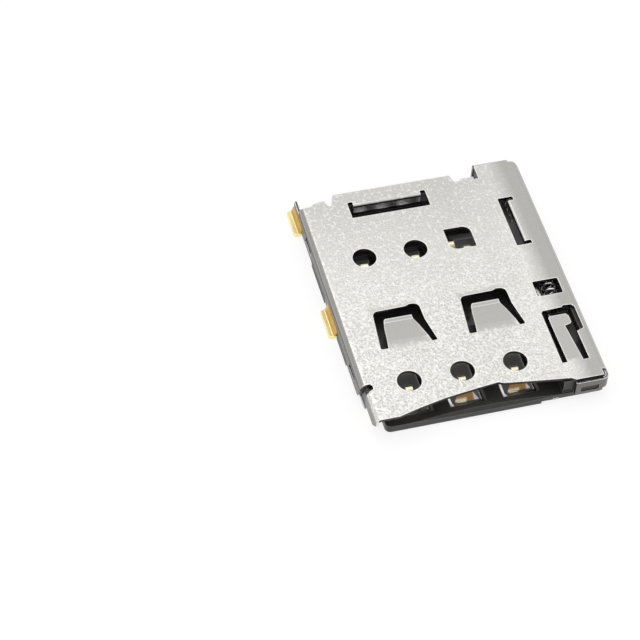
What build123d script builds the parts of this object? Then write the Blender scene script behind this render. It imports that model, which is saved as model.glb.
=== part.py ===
from build123d import *
import math
import os

# A push-push socket for a small sim card, 1.37 mm tall, soldered flat to a board.
# Millimetres, +Z up. z = 0 is the board plane, x = 0 is the middle contact column,
# y = 0 is halfway between the two contact rows, and the card goes in towards +Y.

# Card and contact grid
card_width = 8.8
card_side_play = 0.02
column_pitch = 2.54
row_spacing = 7.62
tail_pitch = 1.1
tail_reach = 0.97

# Heights above the board
shell_top = 1.37
sheet = 0.15
housing_bottom = 0.05
floor_top = 0.45
lead_bottom = 0.13
lead_thickness = 0.15
housing_gap = 0.02

# Walls across the width
rail_wall = 0.20
partition_wall = 0.18
channel_width = 1.55
outer_wall = 0.25
shell_fit = 0.03

# Depths, front to back
housing_front = -5.50
front_setback = 0.10
scoop_x = 0.80
scoop_half = 3.60
scoop_depth = 0.10
scoop_slope = 29
cavity_rear = 7.35
rear_wall = 0.53
corner_rear = 8.46
channel_end_wall = 0.17
channel_front = -4.35

# Push-push mechanism
stroke = 3.6
latch_travel = 3.1
slide_clearance = 0.05
wire = 0.22
lane_clearance = 0.03
pin_swing_deg = 4.3
pin_pivot_inset = 0.75
pin_pivot_y = -4.78
pin_tip_inset = 0.35
pin_tip_y = 0.55
spring_wire = 0.12
spring_radius = 0.385
spring_pitch = 0.45
chords_per_turn = 9

# Shell bends and feet
bend_radius = 0.28
foot_reach = 0.35
foot_lean = 0.12
wall_bottom = 0.25
short_wall_bottom = 0.50
inspection_hole = 1.15

# Values that follow from the ones above
cavity_half = card_width / 2 + card_side_play
housing_left = -cavity_half - rail_wall
channel_left = cavity_half + partition_wall
channel_right = channel_left + channel_width
housing_right = channel_right + outer_wall
shell_left = housing_left - shell_fit - sheet
shell_right = housing_right + shell_fit + sheet
shell_under = shell_top - sheet
housing_top = shell_under - housing_gap
lead_top = lead_bottom + lead_thickness
housing_rear = cavity_rear + rear_wall
channel_rear = corner_rear - channel_end_wall
corner_shell_rear = corner_rear + shell_fit + sheet
front_row = -row_spacing / 2
rear_row = row_spacing / 2
columns = (-column_pitch, 0.0, column_pitch)
setback_x = cavity_half - 1.02
pin_pivot_x = channel_left + pin_pivot_inset
pin_tip_x = channel_left + pin_tip_inset
through = 3.0


def block(x0, x1, y0, y1, z0, z1):
    corner = (Align.MIN, Align.MIN, Align.MIN)
    return Pos(x0, y0, z0) * Box(x1 - x0, y1 - y0, z1 - z0, align=corner)


def outline(*points):
    return make_face(Polyline(*points, close=True))


def rectangle(x0, x1, y0, y1, radius=0.0):
    sketch = Pos((x0 + x1) / 2, (y0 + y1) / 2) * Rectangle(x1 - x0, y1 - y0)
    if radius:
        sketch = fillet(sketch.vertices(), radius)
    return sketch


def prism(sketch, z0, z1):
    return extrude(Plane.XY.offset(z0) * sketch, amount=z1 - z0)


def along_y(sketch, y0, y1):
    """Extrude an (x, z) sketch from y0 to y1."""
    return extrude(Plane.XZ.offset(-y1) * sketch, amount=y1 - y0)


def along_x(sketch, x0, x1):
    """Extrude a (y, z) sketch from x0 to x1."""
    return extrude(Plane.YZ.offset(x0) * sketch, amount=x1 - x0)


def disc(x, y, diameter, z0, z1):
    return Pos(x, y, (z0 + z1) / 2) * Cylinder(diameter / 2, z1 - z0)


def peephole(x, y, diameter, z0, z1):
    """A small round opening with few sides, for the holes that nothing passes through."""
    return prism(Pos(x, y) * RegularPolygon(diameter / 2, 16), z0, z1)


def corner_at(sketch, x, y):
    """The sketch's vertices at one point."""
    return sketch.vertices().filter_by(lambda v: abs(v.X - x) < 1e-4 and abs(v.Y - y) < 1e-4)


def sweep_in_plan(points, width, z0, z1):
    """A flat strip of one width that follows a run of points."""
    path = Polyline(*points)
    strip = trace(path, line_width=width)
    return prism(strip, z0, z1)


# Where the shell lies on the side walls: each foot as (start, end) along Y
left_mid_foot = (0.40, 2.10)
left_rear_foot = (7.00, 8.58)
left_front_foot = (-4.80, -3.72)
right_feet = ((-4.75, -3.20), (0.97, 2.20), (5.42, 6.65))
left_short_walls = ((-1.35, 0.35), (2.55, 5.00))
left_windows = ((-2.70, -1.80), (5.20, 6.20))
right_windows = ((-0.70, 0.20), (4.30, 5.20))
window_low = 0.52
window_high = 0.86
front_window = (channel_left + 0.62, channel_left + 1.48)

# The shell's top edges
shell_front = -5.67
rear_edge = 8.10
rear_left_edge = 7.58
rear_step_x = shell_left + 1.60
rear_right_step_x = cavity_half - 1.17
rear_right_edge = 7.75
corner_slit = (cavity_half - 0.32, cavity_half - 0.05)
rear_flange_bottom = 0.35
flange_left = channel_left + 0.35
flange_back = -5.46
flange_front = flange_back - sheet
flange_bottom = 0.38
flange_bend = 0.30
left_gap = (-4.05, -3.62)
mouth_wall_inset = 0.15
mouth_wall_bottom = 0.54
mouth_wall_rake = 0.42
mouth_foot = (-cavity_half - 0.04, -cavity_half + 0.34)
tongue_pitch = 4.28
tongue_x = -1.98
tongue_root = -1.62
tongue_tip = 0.12
tongue_drop = 0.24
stop_slot = (-2.42, 1.52, 6.40, 7.17)
stop_lip_bottom = 0.85
guide_slot = (channel_left + 0.24, channel_left + 0.68, 2.93, 6.05)
guide_lip_bottom = 1.00
spring_window = (channel_left + 0.20, channel_left + 1.46, -0.36, 0.57)


def shell_channel():
    outer = rectangle(shell_left, shell_right, wall_bottom, shell_top)
    tops = corner_at(outer, shell_left, shell_top) + corner_at(outer, shell_right, shell_top)
    outer = fillet(tops, bend_radius)
    inner = rectangle(shell_left + sheet, shell_right - sheet, wall_bottom - 1, shell_under)
    inner_tops = corner_at(inner, shell_left + sheet, shell_under)
    inner_tops += corner_at(inner, shell_right - sheet, shell_under)
    inner = fillet(inner_tops, bend_radius - sheet)
    return along_y(outer - inner, shell_front, corner_shell_rear - bend_radius)


def shell_front_cut():
    """Everything in front of the hollowed front edge of the top plate."""
    edge = outline(
        (shell_left + bend_radius + 1.0, shell_front),
        (-2.50, -5.40),
        (-1.20, -5.13),
        (0.40, -4.92),
        (1.40, -4.81),
        (1.66, -4.92),
        (flange_left - 1.65, -5.15),
        (flange_left - 0.20, -5.34),
        (flange_left, flange_back - housing_gap),
        (shell_right + 1, flange_back - housing_gap),
        (shell_right + 1, shell_front - 1),
        (shell_left + bend_radius + 1.0, shell_front - 1),
    )
    return prism(edge, floor_top, through)


def shell_rear_cut():
    """Everything behind the stepped rear edge of the top plate."""
    edge = outline(
        (shell_left - 1, rear_left_edge),
        (rear_step_x - 1.00, rear_left_edge),
        (rear_step_x - 0.85, rear_left_edge + 0.15),
        (rear_step_x - 0.28, rear_left_edge + 0.17),
        (rear_step_x - 0.14, rear_left_edge - 0.16),
        (rear_step_x, rear_left_edge - 0.16),
        (rear_step_x + 0.14, rear_edge - 0.10),
        (rear_step_x + 0.25, rear_edge),
        (rear_right_step_x - 0.27, rear_edge),
        (rear_right_step_x - 0.13, rear_left_edge + 0.05),
        (rear_right_step_x + 0.10, rear_left_edge + 0.05),
        (rear_right_step_x + 0.20, rear_right_edge),
        (corner_slit[0], rear_right_edge),
        (corner_slit[0] + 0.02, rear_left_edge),
        (corner_slit[1] - 0.02, rear_left_edge),
        (corner_slit[1], corner_shell_rear + 1),
        (shell_left - 1, corner_shell_rear + 1),
    )
    top_cut = prism(edge, shell_under - bend_radius, through)
    inner_cut = block(shell_left + sheet, corner_slit[1], cavity_rear, corner_shell_rear + 1, 0, through)
    keep_plate = block(shell_left, shell_right, shell_front, corner_shell_rear, shell_under, shell_top)
    return top_cut + (inner_cut - keep_plate)


def shell_corner_cut():
    """The rounded rear right corner of the top plate."""
    radius = 0.42
    flat_end = corner_shell_rear - bend_radius
    square = rectangle(shell_right - radius, shell_right + 1, flat_end - radius, flat_end + 1)
    round_part = Pos(shell_right - radius, flat_end - radius) * Circle(radius)
    return prism(square - round_part, 0, through)


def rear_flange():
    """The end wall of the spring channel, bent down from the top plate."""
    y0 = corner_shell_rear - bend_radius - 0.05
    y1 = corner_shell_rear
    low = rear_flange_bottom
    profile = outline(
        (y0, shell_top),
        (y1, shell_top),
        (y1, low),
        (y1 - sheet, low),
        (y1 - sheet, shell_under),
        (y0, shell_under),
    )
    profile = fillet(corner_at(profile, y1, shell_top), bend_radius)
    profile = fillet(corner_at(profile, y1 - sheet, shell_under), bend_radius - sheet)
    return along_x(profile, corner_slit[1], shell_right - 0.46)


def front_flange():
    """The front wall right of the mouth, folded round the corner from the side wall."""
    x0, x1 = flange_left, shell_right
    y0, y1 = flange_front, -5.05
    ring = rectangle(x0, x1, y0, y1)
    ring = fillet(corner_at(ring, x1, y0), flange_bend)
    hollow = rectangle(x0 - 1, x1 - sheet, y0 + sheet, y1 + 1)
    hollow = fillet(corner_at(hollow, x1 - sheet, y0 + sheet), flange_bend - sheet)
    wall = prism(ring - hollow, flange_bottom, shell_under - 0.03)
    wall -= block(shell_right - flange_bend, shell_right + 1, flange_front - 1, y1 + 1, 0, 0.55)
    return wall


def foot_profile(face, outward, top):
    """An (x, z) section of a wall that bends out into a solder foot."""
    inner = face - outward * sheet
    tip = face + outward * foot_reach
    profile = outline(
        (inner, top),
        (inner + outward * foot_lean, 0),
        (tip, 0),
        (tip, sheet),
        (face + outward * foot_lean, sheet),
        (face, top),
    )
    profile = fillet(corner_at(profile, inner + outward * foot_lean, 0), 0.15)
    return fillet(corner_at(profile, face + outward * foot_lean, sheet), 0.05)


def foot(face, outward, span):
    solid = along_y(foot_profile(face, outward, wall_bottom + 0.2), *span)
    tip = face + outward * foot_reach
    x0, x1 = sorted((face - outward, tip))
    plan = rectangle(x0, x1, *span)
    plan = fillet(corner_at(plan, tip, span[0]) + corner_at(plan, tip, span[1]), 0.16)
    return solid & prism(plan, -1, through)


def mouth_wall():
    """The front left wall: set in from the side, with a foot tucked in under the card's path."""
    x = shell_left + mouth_wall_inset
    section = outline(
        (x, shell_top),
        (x, mouth_wall_bottom),
        (x + sheet, mouth_wall_bottom),
        (x + sheet, shell_under),
        (x + 0.50, shell_under),
        (x + 0.50, shell_top),
    )
    section = fillet(corner_at(section, x, shell_top), bend_radius)
    section = fillet(corner_at(section, x + sheet, shell_under), bend_radius - sheet)
    wall = along_y(section, shell_front, left_gap[0])
    raked = outline(
        (shell_front, shell_top),
        (shell_front, shell_top - mouth_wall_rake),
        (shell_front + mouth_wall_rake, mouth_wall_bottom),
        (left_gap[0], mouth_wall_bottom),
        (left_gap[0], shell_top),
    )
    raked = fillet(corner_at(raked, shell_front + mouth_wall_rake, mouth_wall_bottom), 0.15)
    wall &= along_x(raked, x, x + 0.50)
    x0, x1 = mouth_foot
    leg = outline(
        (x, mouth_wall_bottom + 0.10),
        (x, mouth_wall_bottom),
        (x0, 0),
        (x1, 0),
        (x1, sheet),
        (x0 + sheet, sheet),
        (x + sheet, mouth_wall_bottom),
        (x + sheet, mouth_wall_bottom + 0.10),
    )
    wall += along_y(leg, left_front_foot[0], left_gap[0])
    plan = outline(
        (x0, left_front_foot[0]),
        (x1, left_front_foot[0]),
        (x1, -4.56),
        (x1 - 0.16, -4.44),
        (x1, -4.26),
        (x1, left_front_foot[1]),
        (x0, left_front_foot[1]),
    )
    plan = fillet(corner_at(plan, x1, left_front_foot[0]), 0.12)
    return wall + prism(plan, 0, sheet)


def tongue_slot(shift):
    """The U-shaped gap round a card tongue, open towards the mouth."""
    x = tongue_x + shift
    ring = outline(
        (x - 1.33, tongue_root - 0.16),
        (x - 1.12, 0.47),
        (x + 0.50, 0.49),
        (x + 0.70, 0.58),
        (x + 1.14, 0.55),
        (x + 1.17, -0.45),
        (x + 1.42, tongue_root - 0.16),
    )
    ring = fillet(ring.vertices().group_by(Axis.Y)[0], 0.08)
    ring = fillet(corner_at(ring, x - 1.12, 0.47), 0.28)
    ring = fillet(corner_at(ring, x + 1.14, 0.55), 0.30)
    return prism(ring, shell_under - 0.01, through)


def tongue(shift):
    """A card tongue: a tapered strip that bends down and curls up at its tip."""
    x = tongue_x + shift
    z = shell_under
    low = z - tongue_drop
    profile = outline(
        (tongue_root - 0.30, z),
        (tongue_root + 0.20, z),
        (tongue_tip - 0.20, low),
        (tongue_tip, low + 0.10),
        (tongue_tip - 0.07, low + 0.10 + sheet),
        (tongue_tip - 0.22, low + sheet),
        (tongue_root + 0.22, z + sheet),
        (tongue_root - 0.30, z + sheet),
    )
    crease = corner_at(profile, tongue_tip - 0.22, low + sheet)
    profile = fillet(crease, 0.08)
    profile = fillet(corner_at(profile, tongue_root + 0.22, z + sheet), 0.50)
    plan = outline(
        (x - 0.98, tongue_root - 0.25),
        (x - 0.78, -0.45),
        (x - 0.68, 0.0),
        (x - 0.52, tongue_tip),
        (x + 0.66, tongue_tip),
        (x + 0.74, -0.20),
        (x + 0.86, -0.60),
        (x + 1.16, tongue_root - 0.25),
    )
    plan = fillet(plan.vertices().group_by(Axis.Y)[-1], 0.10)
    strip = along_x(profile, x - 1.5, x + 1.5)
    return strip & prism(plan, 0, through)


def hold_down_slot():
    """The gap round the small tongue over the cam pin."""
    x = channel_left
    ring = outline(
        (x + 0.03, -4.42),
        (x + 0.03, -1.36),
        (x + 0.12, -1.26),
        (x + 1.06, -1.22),
        (x + 1.20, -1.12),
        (x + 1.56, -1.16),
        (x + 1.68, -1.30),
        (x + 1.68, -2.62),
        (x + 1.32, -2.76),
        (x + 1.34, -4.42),
    )
    return prism(ring, shell_under - 0.01, through)


def hold_down_tongue():
    """The strip that presses the cam pin into its track."""
    z = shell_under
    drop = 0.07
    root = -4.30
    profile = outline(
        (root - 0.40, z),
        (root + 0.10, z),
        (-2.30, z - drop),
        (-1.58, z - drop),
        (-1.58, z - drop + sheet),
        (-2.30, z - drop + sheet),
        (root + 0.10, z + sheet),
        (root - 0.40, z + sheet),
    )
    x = channel_left
    plan = outline(
        (x + 0.28, root - 0.20),
        (x + 0.28, -1.66),
        (x + 0.36, -1.58),
        (x + 1.16, -1.58),
        (x + 1.26, -1.74),
        (x + 1.26, -2.12),
        (x + 1.20, -2.20),
        (x + 0.90, -2.28),
        (x + 1.06, root - 0.20),
    )
    strip = along_x(profile, channel_left, channel_right)
    return strip & prism(plan, 0, through)


def side_windows(face_x, spans):
    cutters = [block(face_x - 0.3, face_x + 0.3, a, b, window_low, window_high) for a, b in spans]
    return cutters


def make_shell():
    shell = shell_channel()
    shell -= shell_front_cut()
    shell -= shell_rear_cut()
    shell -= shell_corner_cut()

    # Left wall: short stretches, the gap beside the notch, and the low end at the rear
    inside = shell_left + sheet + 0.02
    for y0, y1 in left_short_walls:
        shell -= block(shell_left - 1, inside, y0, y1, 0, short_wall_bottom)
    gap = outline(
        (-3.10, 0),
        (-3.45, 0.60),
        (left_gap[1], 1.10),
        (left_gap[1], 2),
        (left_gap[0], 2),
        (left_gap[0], 0),
    )
    shell -= along_x(gap, shell_left - 1, shell_left + bend_radius)
    notch = outline(
        (shell_left - 1, left_gap[1]),
        (shell_left + 0.46, left_gap[1] + 0.02),
        (shell_left + 0.55, left_gap[1] - 0.12),
        (shell_left + 0.53, left_gap[1] - 0.28),
        (shell_left + 0.24, left_gap[0]),
        (shell_left - 1, left_gap[0]),
    )
    shell -= prism(notch, shell_under - bend_radius, through)
    bend_zone = shell_left + mouth_wall_inset + bend_radius
    shell -= block(shell_left - 1, bend_zone, shell_front - 1, left_gap[0], 0, through)
    shell += mouth_wall()
    low_rear = left_rear_foot[1] - 0.12
    shell += block(shell_left, shell_left + sheet, rear_left_edge - 0.3, low_rear, 0.10, 0.95)

    # Right wall: the corner where the side wall leaves the top plate
    shell -= block(shell_right - bend_radius, shell_right + 1, shell_front - 1, -5.12, 0, through)
    shell += front_flange()
    shell += rear_flange()

    for span in (left_mid_foot, left_rear_foot):
        shell += foot(shell_left, -1, span)
    for span in right_feet:
        shell += foot(shell_right, 1, span)

    for cutter in side_windows(shell_left, left_windows) + side_windows(shell_right, right_windows):
        shell -= cutter
    lens = rectangle(front_window[0], front_window[1], window_low, window_high, 0.06)
    shell -= along_y(lens, flange_front - 0.2, flange_front + 0.3)

    # Inspection holes over the contacts, the last one leaf-shaped over two tips
    for x in columns:
        shell -= disc(x, front_row, inspection_hole, shell_under - 0.1, through)
    for x in columns[:2]:
        shell -= disc(x, rear_row, inspection_hole, shell_under - 0.1, through)
    leaf = rectangle(1.65, 2.94, 3.36, 4.70)
    leaf = fillet(corner_at(leaf, 2.94, 4.70) + corner_at(leaf, 1.65, 3.36), 0.42)
    shell -= prism(leaf, shell_under - 0.1, through)

    # Card stop behind the rear slot and guide lip beside the slider, both folded down
    x0, x1, y0, y1 = stop_slot
    shell -= block(x0, x1, y0, y1, shell_under - 0.1, through)
    for x in (x0, x1 - 0.26):
        shell -= prism(rectangle(x, x + 0.26, y1 - 0.1, y1 + 0.25, 0.06), shell_under - 0.1, through)
    lip = block(x0 + 0.27, x1 - 0.27, y1, y1 + sheet, stop_lip_bottom, shell_top)
    shell += lip
    x0, x1, y0, y1 = guide_slot
    shell -= prism(rectangle(x0, x1, y0, y1, 0.05), shell_under - 0.1, through)
    for y in (y0, y1 - 0.22):
        shell -= prism(rectangle(x1 - 0.1, x1 + 0.33, y, y + 0.22, 0.06), shell_under - 0.1, through)
    lip = block(x1, x1 + sheet, y0 + 0.23, y1 - 0.23, guide_lip_bottom, shell_top)
    shell += lip
    bends = shell.edges().filter_by(lambda e: on_bend(e, stop_slot[3], guide_slot[1]))
    shell = fillet(bends, sheet - 0.02)

    window = rectangle(*spring_window, 0.08)
    shell -= prism(window, shell_under - 0.1, through)
    for shift in (0, tongue_pitch):
        shell -= tongue_slot(shift)
        shell += tongue(shift)
    shell -= hold_down_slot()
    shell += hold_down_tongue()
    return shell


def on_bend(edge, stop_y, guide_x):
    """The top edges where the two lips turn down."""
    middle = edge.center()
    if abs(middle.Z - shell_top) > 1e-3 or edge.length < 2:
        return False
    if abs(middle.Y - stop_y) < 1e-3:
        return True
    return abs(middle.X - guide_x) < 1e-3 and middle.Y > 0


# Windows in the housing floor
front_pocket = (1.72, -5.03, -2.15)
rear_pocket = (1.42, 1.92, 4.72)
detect_left = 1.08
detect_front = 2.36
detect_shift = 0.40
pocket_rear = 5.00
third_right = 3.43
embed = 0.05
root_strip = 0.25
beam_rise = 0.92


def rear_centre(column):
    return column - 0.05


def front_frame(x):
    """The stamped frame round a mouth-side contact's window."""
    half = front_pocket[0] / 2
    outer = rectangle(x - half - embed, x + half + embed, front_pocket[1] - embed, front_pocket[2] + embed)
    front = front_pocket[1] + root_strip
    inner = rectangle(x - half + 0.17, x + half - 0.15, front, front_pocket[2] - 0.34)
    return prism(outer - inner, lead_bottom, lead_top)


def rear_frame(x0, x1, y0, y1, wedge=True):
    """The open frame of a rear contact: a root strip, a side strip and a wedge on the other side."""
    plan = rectangle(x0 - embed, x0 + 0.17, y0 - embed, y1 + 0.20)
    plan += rectangle(x0 - embed, x1 - 0.24, y0 - embed, y0 + 0.42)
    plan += rectangle(x0 - embed, x1 + embed, y1 + 0.05, y1 + 0.20)
    if wedge:
        plan += outline(
            (x1 - 0.14, y0 + 1.05),
            (x1 - 0.32, y0 + 1.75),
            (x1 - 0.16, y1 + 0.1),
            (x1 + embed, y1 + 0.1),
            (x1 + embed, y0 + 1.9),
            (x1 - 0.02, y0 + 1.1),
        )
    return prism(plan, lead_bottom, lead_top)


def beam(x, root_y, tip_y, root_width, tip_width, rise, tip_shift=0.0):
    """A sprung beam that rises rearwards from its frame to a domed tip, which may stand to one side."""
    z0 = lead_bottom
    t = lead_thickness
    crest = rise - t
    profile = outline(
        (root_y - 0.30, z0),
        (root_y + 0.05, z0),
        (tip_y - 0.14, crest - 0.04),
        (tip_y, crest),
        (tip_y + 0.12, crest - 0.10),
        (tip_y + 0.20, crest),
        (tip_y + 0.06, rise),
        (tip_y - 0.14, rise),
        (root_y, z0 + t),
        (root_y - 0.30, z0 + t),
    )
    crest_corners = corner_at(profile, tip_y - 0.14, rise) + corner_at(profile, tip_y + 0.06, rise)
    profile = fillet(crest_corners, 0.20)
    profile = fillet(corner_at(profile, root_y, z0 + t), 0.40)
    neck_y = root_y + 0.62 * (tip_y - root_y)
    tip_left = x + tip_shift - tip_width / 2
    tip_right = x + tip_shift + tip_width / 2
    plan = outline(
        (x - root_width / 2, root_y - 0.30),
        (x - root_width / 2, root_y),
        (tip_left, neck_y),
        (tip_left, tip_y + 0.3),
        (tip_right, tip_y + 0.3),
        (tip_right, neck_y),
        (x + root_width / 2, root_y),
        (x + root_width / 2, root_y - 0.30),
    )
    strip = along_x(profile, x - 1, x + 1)
    return strip & prism(plan, 0, through)


def tail(x, width=0.34):
    """A solder tail: out of the rear wall, down to the board and back."""
    t = lead_thickness
    y0 = housing_rear - 0.30
    profile = outline(
        (y0, lead_bottom),
        (housing_rear + 0.16, lead_bottom),
        (housing_rear + 0.42, 0),
        (housing_rear + tail_reach, 0),
        (housing_rear + tail_reach, t),
        (housing_rear + 0.48, t),
        (housing_rear + 0.22, lead_top),
        (y0, lead_top),
    )
    comb = rectangle(x - comb_width / 2, x + comb_width / 2, comb_front, comb_rear)
    comb = prism(comb, lead_bottom, lead_top)
    neck = rectangle(x - width / 2, x + width / 2, comb_rear - 0.05, y0 + 0.1)
    neck = prism(neck, lead_bottom, lead_top)
    return along_x(profile, x - width / 2, x + width / 2) + comb + neck


def lead(points, width):
    return sweep_in_plan(points, width, lead_bottom, lead_top)


def tail_x(index):
    return (index - 3) * tail_pitch


lead_width = 0.34
narrow_lead = 0.20
comb_width = 0.42
comb_front = 6.20
comb_rear = 7.45
strip_width = 0.26
strip_x = cavity_half - 0.32
eye_y = 6.88
eye_recess = 1.00
eye_hole = 0.66
front_lead_start = front_pocket[2]
left_ring = (-2.20, -0.50, 0.88)
right_ring = (3.28, -0.45, 0.60)


def make_contacts():
    """The six card contacts, from the mouth-side row to the rear row."""
    contacts = {}
    half = rear_pocket[0] / 2
    y0, y1 = rear_pocket[1:]
    left, middle, right = columns

    frame = front_frame(left)
    ring_x, ring_y = left_ring[:2]
    pad = disc(ring_x, ring_y, 1.35, lead_bottom, lead_top) - disc(ring_x, ring_y, left_ring[2], 0, 1)
    run = lead([(ring_x, front_lead_start), (ring_x, ring_y - 0.6)], lead_width)
    x = rear_centre(left) - half - embed - 0.10
    route = [(ring_x - 0.5, ring_y + 0.2), (x, 1.2), (x, 5.4), (tail_x(0), 5.9), (tail_x(0), 6.3)]
    run += lead(route, 0.14)
    contacts["contact_front_left"] = frame + pad + run

    frame = front_frame(middle)
    route = [(-0.16, front_lead_start), (-0.16, 0.6), (-1.45, 1.6), (-1.45, 5.6), (tail_x(2), 6.3)]
    run = lead(route, narrow_lead)
    contacts["contact_front_middle"] = frame + run

    frame = front_frame(right)
    run = lead([(2.27, front_lead_start), (2.27, 0.85), (0.87, 1.60), (0.87, 5.4), (tail_x(4), 6.3)], 0.16)
    contacts["contact_front_right"] = frame + run

    x = rear_centre(left)
    frame = rear_frame(x - half, x + half, y0, y1)
    run = lead([(x, y1 + 0.1), (x, 5.45), (tail_x(1), 6.3)], lead_width)
    contacts["contact_rear_left"] = frame + run

    x = rear_centre(middle)
    frame = rear_frame(x - half, x + half, y0, y1)
    run = lead([(x, y1 + 0.1), (x, 5.45), (tail_x(3), 6.3)], lead_width)
    contacts["contact_rear_middle"] = frame + run

    frame = rear_frame(2.00, third_right, y0, pocket_rear, wedge=False)
    run = lead([(3.2, pocket_rear + 0.1), (3.2, 5.5), (tail_x(6), 6.3)], lead_width)
    contacts["contact_rear_right"] = frame + run

    front = {"contact_front_left": left, "contact_front_middle": middle, "contact_front_right": right}
    for name, x in front.items():
        contacts[name] += beam(x, front_pocket[1] + root_strip, front_row, 1.24, 0.34, beam_rise)
    rear = {"contact_rear_left": left, "contact_rear_middle": middle, "contact_rear_right": right}
    for name, x in rear.items():
        shift = 0.10 if name == "contact_rear_right" else 0.0
        contacts[name] += beam(x + shift, y0 + 0.45, rear_row, 0.90, 0.38, beam_rise)
    tails = {"contact_front_left": 0, "contact_rear_left": 1, "contact_front_middle": 2}
    tails.update({"contact_rear_middle": 3, "contact_front_right": 4, "contact_rear_right": 6})
    for name, index in tails.items():
        contacts[name] += tail(tail_x(index))
    return contacts


def make_detect_contact():
    """The card-detect contact beside the third rear contact."""
    x0, x1 = detect_left, 1.80
    outer = rectangle(x0 - embed, x1, detect_front - embed, pocket_rear + 0.12)
    inner = rectangle(x0 + 0.14, x1 + 1, detect_front + 0.50, pocket_rear + 1)
    part = prism(outer - inner, lead_bottom, lead_top)
    rise = beam_rise - 0.04
    part += beam(1.56, detect_front + 0.45, rear_row + 0.52, 0.46, 0.28, rise, detect_shift)
    part += lead([(x0 + 0.05, pocket_rear - 0.3), (x0 + 0.05, 5.2), (tail_x(5), 5.55), (tail_x(5), 6.3)], 0.24)
    part += tail(tail_x(5))
    return part


strip_reach = 0.42
plate_rear = 7.24


def make_left_strip():
    """A stiffening strip of the lead frame along the left side of the floor."""
    path = [(-strip_x, -0.65), (-strip_x, housing_rear + strip_reach)]
    return lead(path, strip_width)


def make_right_strip():
    """The matching strip on the slider side, from the mouth to the rear edge."""
    path = [(strip_x, housing_front + 0.02), (strip_x, housing_rear + strip_reach)]
    ring_x, ring_y, hole = right_ring
    ring = disc(ring_x, ring_y, 1.10, lead_bottom, lead_top)
    ring += lead([(ring_x, ring_y), (strip_x, ring_y)], strip_width)
    return lead(path, strip_width) + ring - disc(ring_x, ring_y, hole, 0, 1)


def make_bottom_plate():
    """The sheet metal floor of the slider channel, with ears held by the housing."""
    x0, x1 = channel_left + 0.02, channel_right - 0.03
    ear = 0.20
    y0, y1 = -4.10, plate_rear
    tab = channel_left + 0.52
    plan = outline(
        (x0, y0),
        (tab - 0.26, y0 + 0.02),
        (tab + 0.02, y0 - 0.10),
        (x1 - 0.12, y0 - 0.02),
        (x1, y0 + 0.14),
        (x1, y1),
        (tab, y1),
        (tab, channel_rear - 0.02),
        (x0 + 0.04, channel_rear - 0.02),
        (x0 + 0.04, 7.0),
        (x0, 7.0),
    )
    for y in (y0, -0.50, 3.14, 4.64, 6.66):
        plan += rectangle(x0 - ear, x0 + 0.1, y, y + 0.42)
    for y in (-0.76, -0.22, 4.46, 6.92):
        plan += rectangle(x1 - 0.1, x1 + ear * 0.8, y, y + 0.30)
    plate = prism(plan, housing_bottom, housing_bottom + sheet)
    pad = block(x0 + 0.04, tab, channel_rear - 0.62, channel_rear - 0.02, 0, sheet)
    return plate + pad


# Slider and its cam track
slider_left = channel_left + slide_clearance
slider_right = channel_right - slide_clearance
slider_bottom = housing_bottom + sheet + slide_clearance
slider_top = shell_under - 0.07
slider_front = channel_front + slide_clearance
spring_seat = -0.75
bar_rear = 4.60
arm_rear = cavity_rear - stroke - 0.15
arm_left = column_pitch + 0.76
arm_corner = 1.75
cam_top = 0.84
track_bottom = 0.47
pin_centre_z = 1.00
spring_x = channel_right - slide_clearance - spring_radius
spring_z = (housing_bottom + sheet + shell_under) / 2
bar_right = spring_x - spring_radius - 0.06
lane = wire + 2 * lane_clearance


def tip_in_track(travel):
    """The pin's tip seen from the slider, after the slider has moved by travel."""
    reach = math.hypot(pin_tip_x - pin_pivot_x, pin_tip_y - pin_pivot_y)
    rest = math.atan2(pin_tip_y - pin_pivot_y, pin_tip_x - pin_pivot_x)
    angle = rest - math.radians(pin_swing_deg) * travel / stroke
    return (pin_pivot_x + reach * math.cos(angle), pin_pivot_y + reach * math.sin(angle) - travel)


def cam_track():
    """The push lane, the return lane and the heart between them, as an open groove."""
    start = tip_in_track(-0.06)
    end = tip_in_track(stroke + 0.06)
    latch = tip_in_track(latch_travel)
    push = trace(Line(start, end), line_width=lane)
    push += Pos(*start) * Circle(lane / 2)
    push += Pos(*end) * Circle(lane / 2)
    back_x = slider_left + 0.11 + lane / 2
    back = [(end[0] - 0.02, end[1]), (back_x + 0.08, end[1] + 0.02), (back_x, end[1] + 0.30)]
    back += [(back_x, latch[1] + 1.15), tip_in_track(1.45)]
    heart = trace(Polyline(*back), line_width=lane)
    return prism(push + heart, track_bottom, through)


def make_slider():
    front_block = block(slider_left, slider_right, slider_front, spring_seat, slider_bottom, slider_top)
    bar = block(slider_left, bar_right, spring_seat - 0.1, bar_rear, slider_bottom, slider_top)
    arm_bottom = floor_top + slide_clearance
    reach = cavity_half - arm_left
    arm_plan = outline(
        (slider_left + 0.1, arm_corner - 0.25),
        (slider_left, arm_corner - 0.25),
        (cavity_half, arm_corner),
        (arm_left, arm_corner + reach),
        (arm_left, arm_rear),
        (slider_left + 0.1, arm_rear),
    )
    slider = front_block + bar + prism(arm_plan, arm_bottom, slider_top)
    seat_front = spring_seat - 0.35
    slider -= block(slider_left - 1, slider_right + 1, slider_front - 1, seat_front, cam_top, through)
    slider -= block(slider_left - 1, bar_right + 0.3, seat_front - 1, pin_tip_y + 0.45, cam_top, through)
    return slider - cam_track()


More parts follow.
